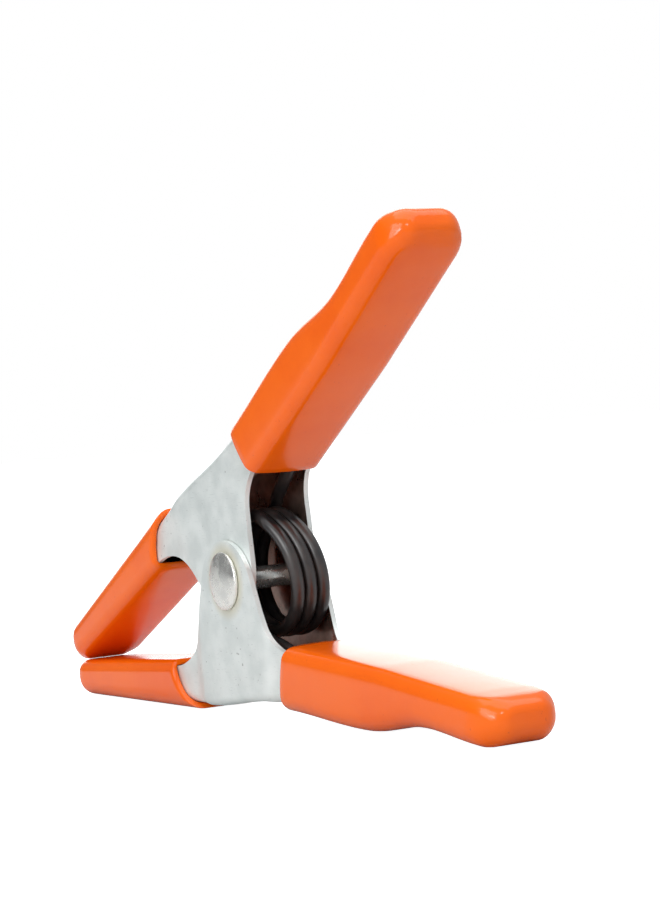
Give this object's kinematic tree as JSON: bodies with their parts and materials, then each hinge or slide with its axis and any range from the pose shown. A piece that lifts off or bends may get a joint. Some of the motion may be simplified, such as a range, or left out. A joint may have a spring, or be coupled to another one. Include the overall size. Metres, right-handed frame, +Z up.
{
  "type": "spring clamp",
  "caption": "Hand spring clamp: pressed steel levers on a rivet, torsion spring closing the jaws, slip-on vinyl sleeves on handles and jaws",
  "frame": {"origin": "under the middle of the clamp's box, on the surface that it stands on", "axes": "+X runs from the jaws to the handle tips, Y is the rivet's axis, +Z is up with the lower lever lying flat"},
  "size_m": [0.158, 0.0174, 0.0826],
  "materials": {
    "zinc_steel": "bright zinc plating on pressed sheet, satin, with fine handling scratches and bare cut edges",
    "rivet_steel": "plated steel, satin dome with a yellowish tarnish and a worn shank",
    "spring_wire": "black oxide spring wire with a satin sheen",
    "orange_vinyl": "glossy dipped orange vinyl, slightly wavy, about 1 mm thick"
  },
  "bodies": {
    "lower_side": {"lower_lever": "zinc_steel", "lower_handle_grip": "orange_vinyl", "lower_jaw_tip": "orange_vinyl", "pivot_rivet": "rivet_steel", "torsion_spring": "spring_wire"},
    "upper_side": {"upper_lever": "zinc_steel", "upper_handle_grip": "orange_vinyl", "upper_jaw_tip": "orange_vinyl"}
  },
  "joints": [
    {"name": "jaw_hinge", "type": "hinge", "parent": "lower_side", "child": "upper_side", "pos_m": [-0.0038, 0, 0.02415], "axis": [0, 1, 0], "range_deg": [0, 48], "stiffness_Nm_per_rad": 1.34, "springref_deg": -60.16, "deforming": ["torsion_spring"]}
  ]
}
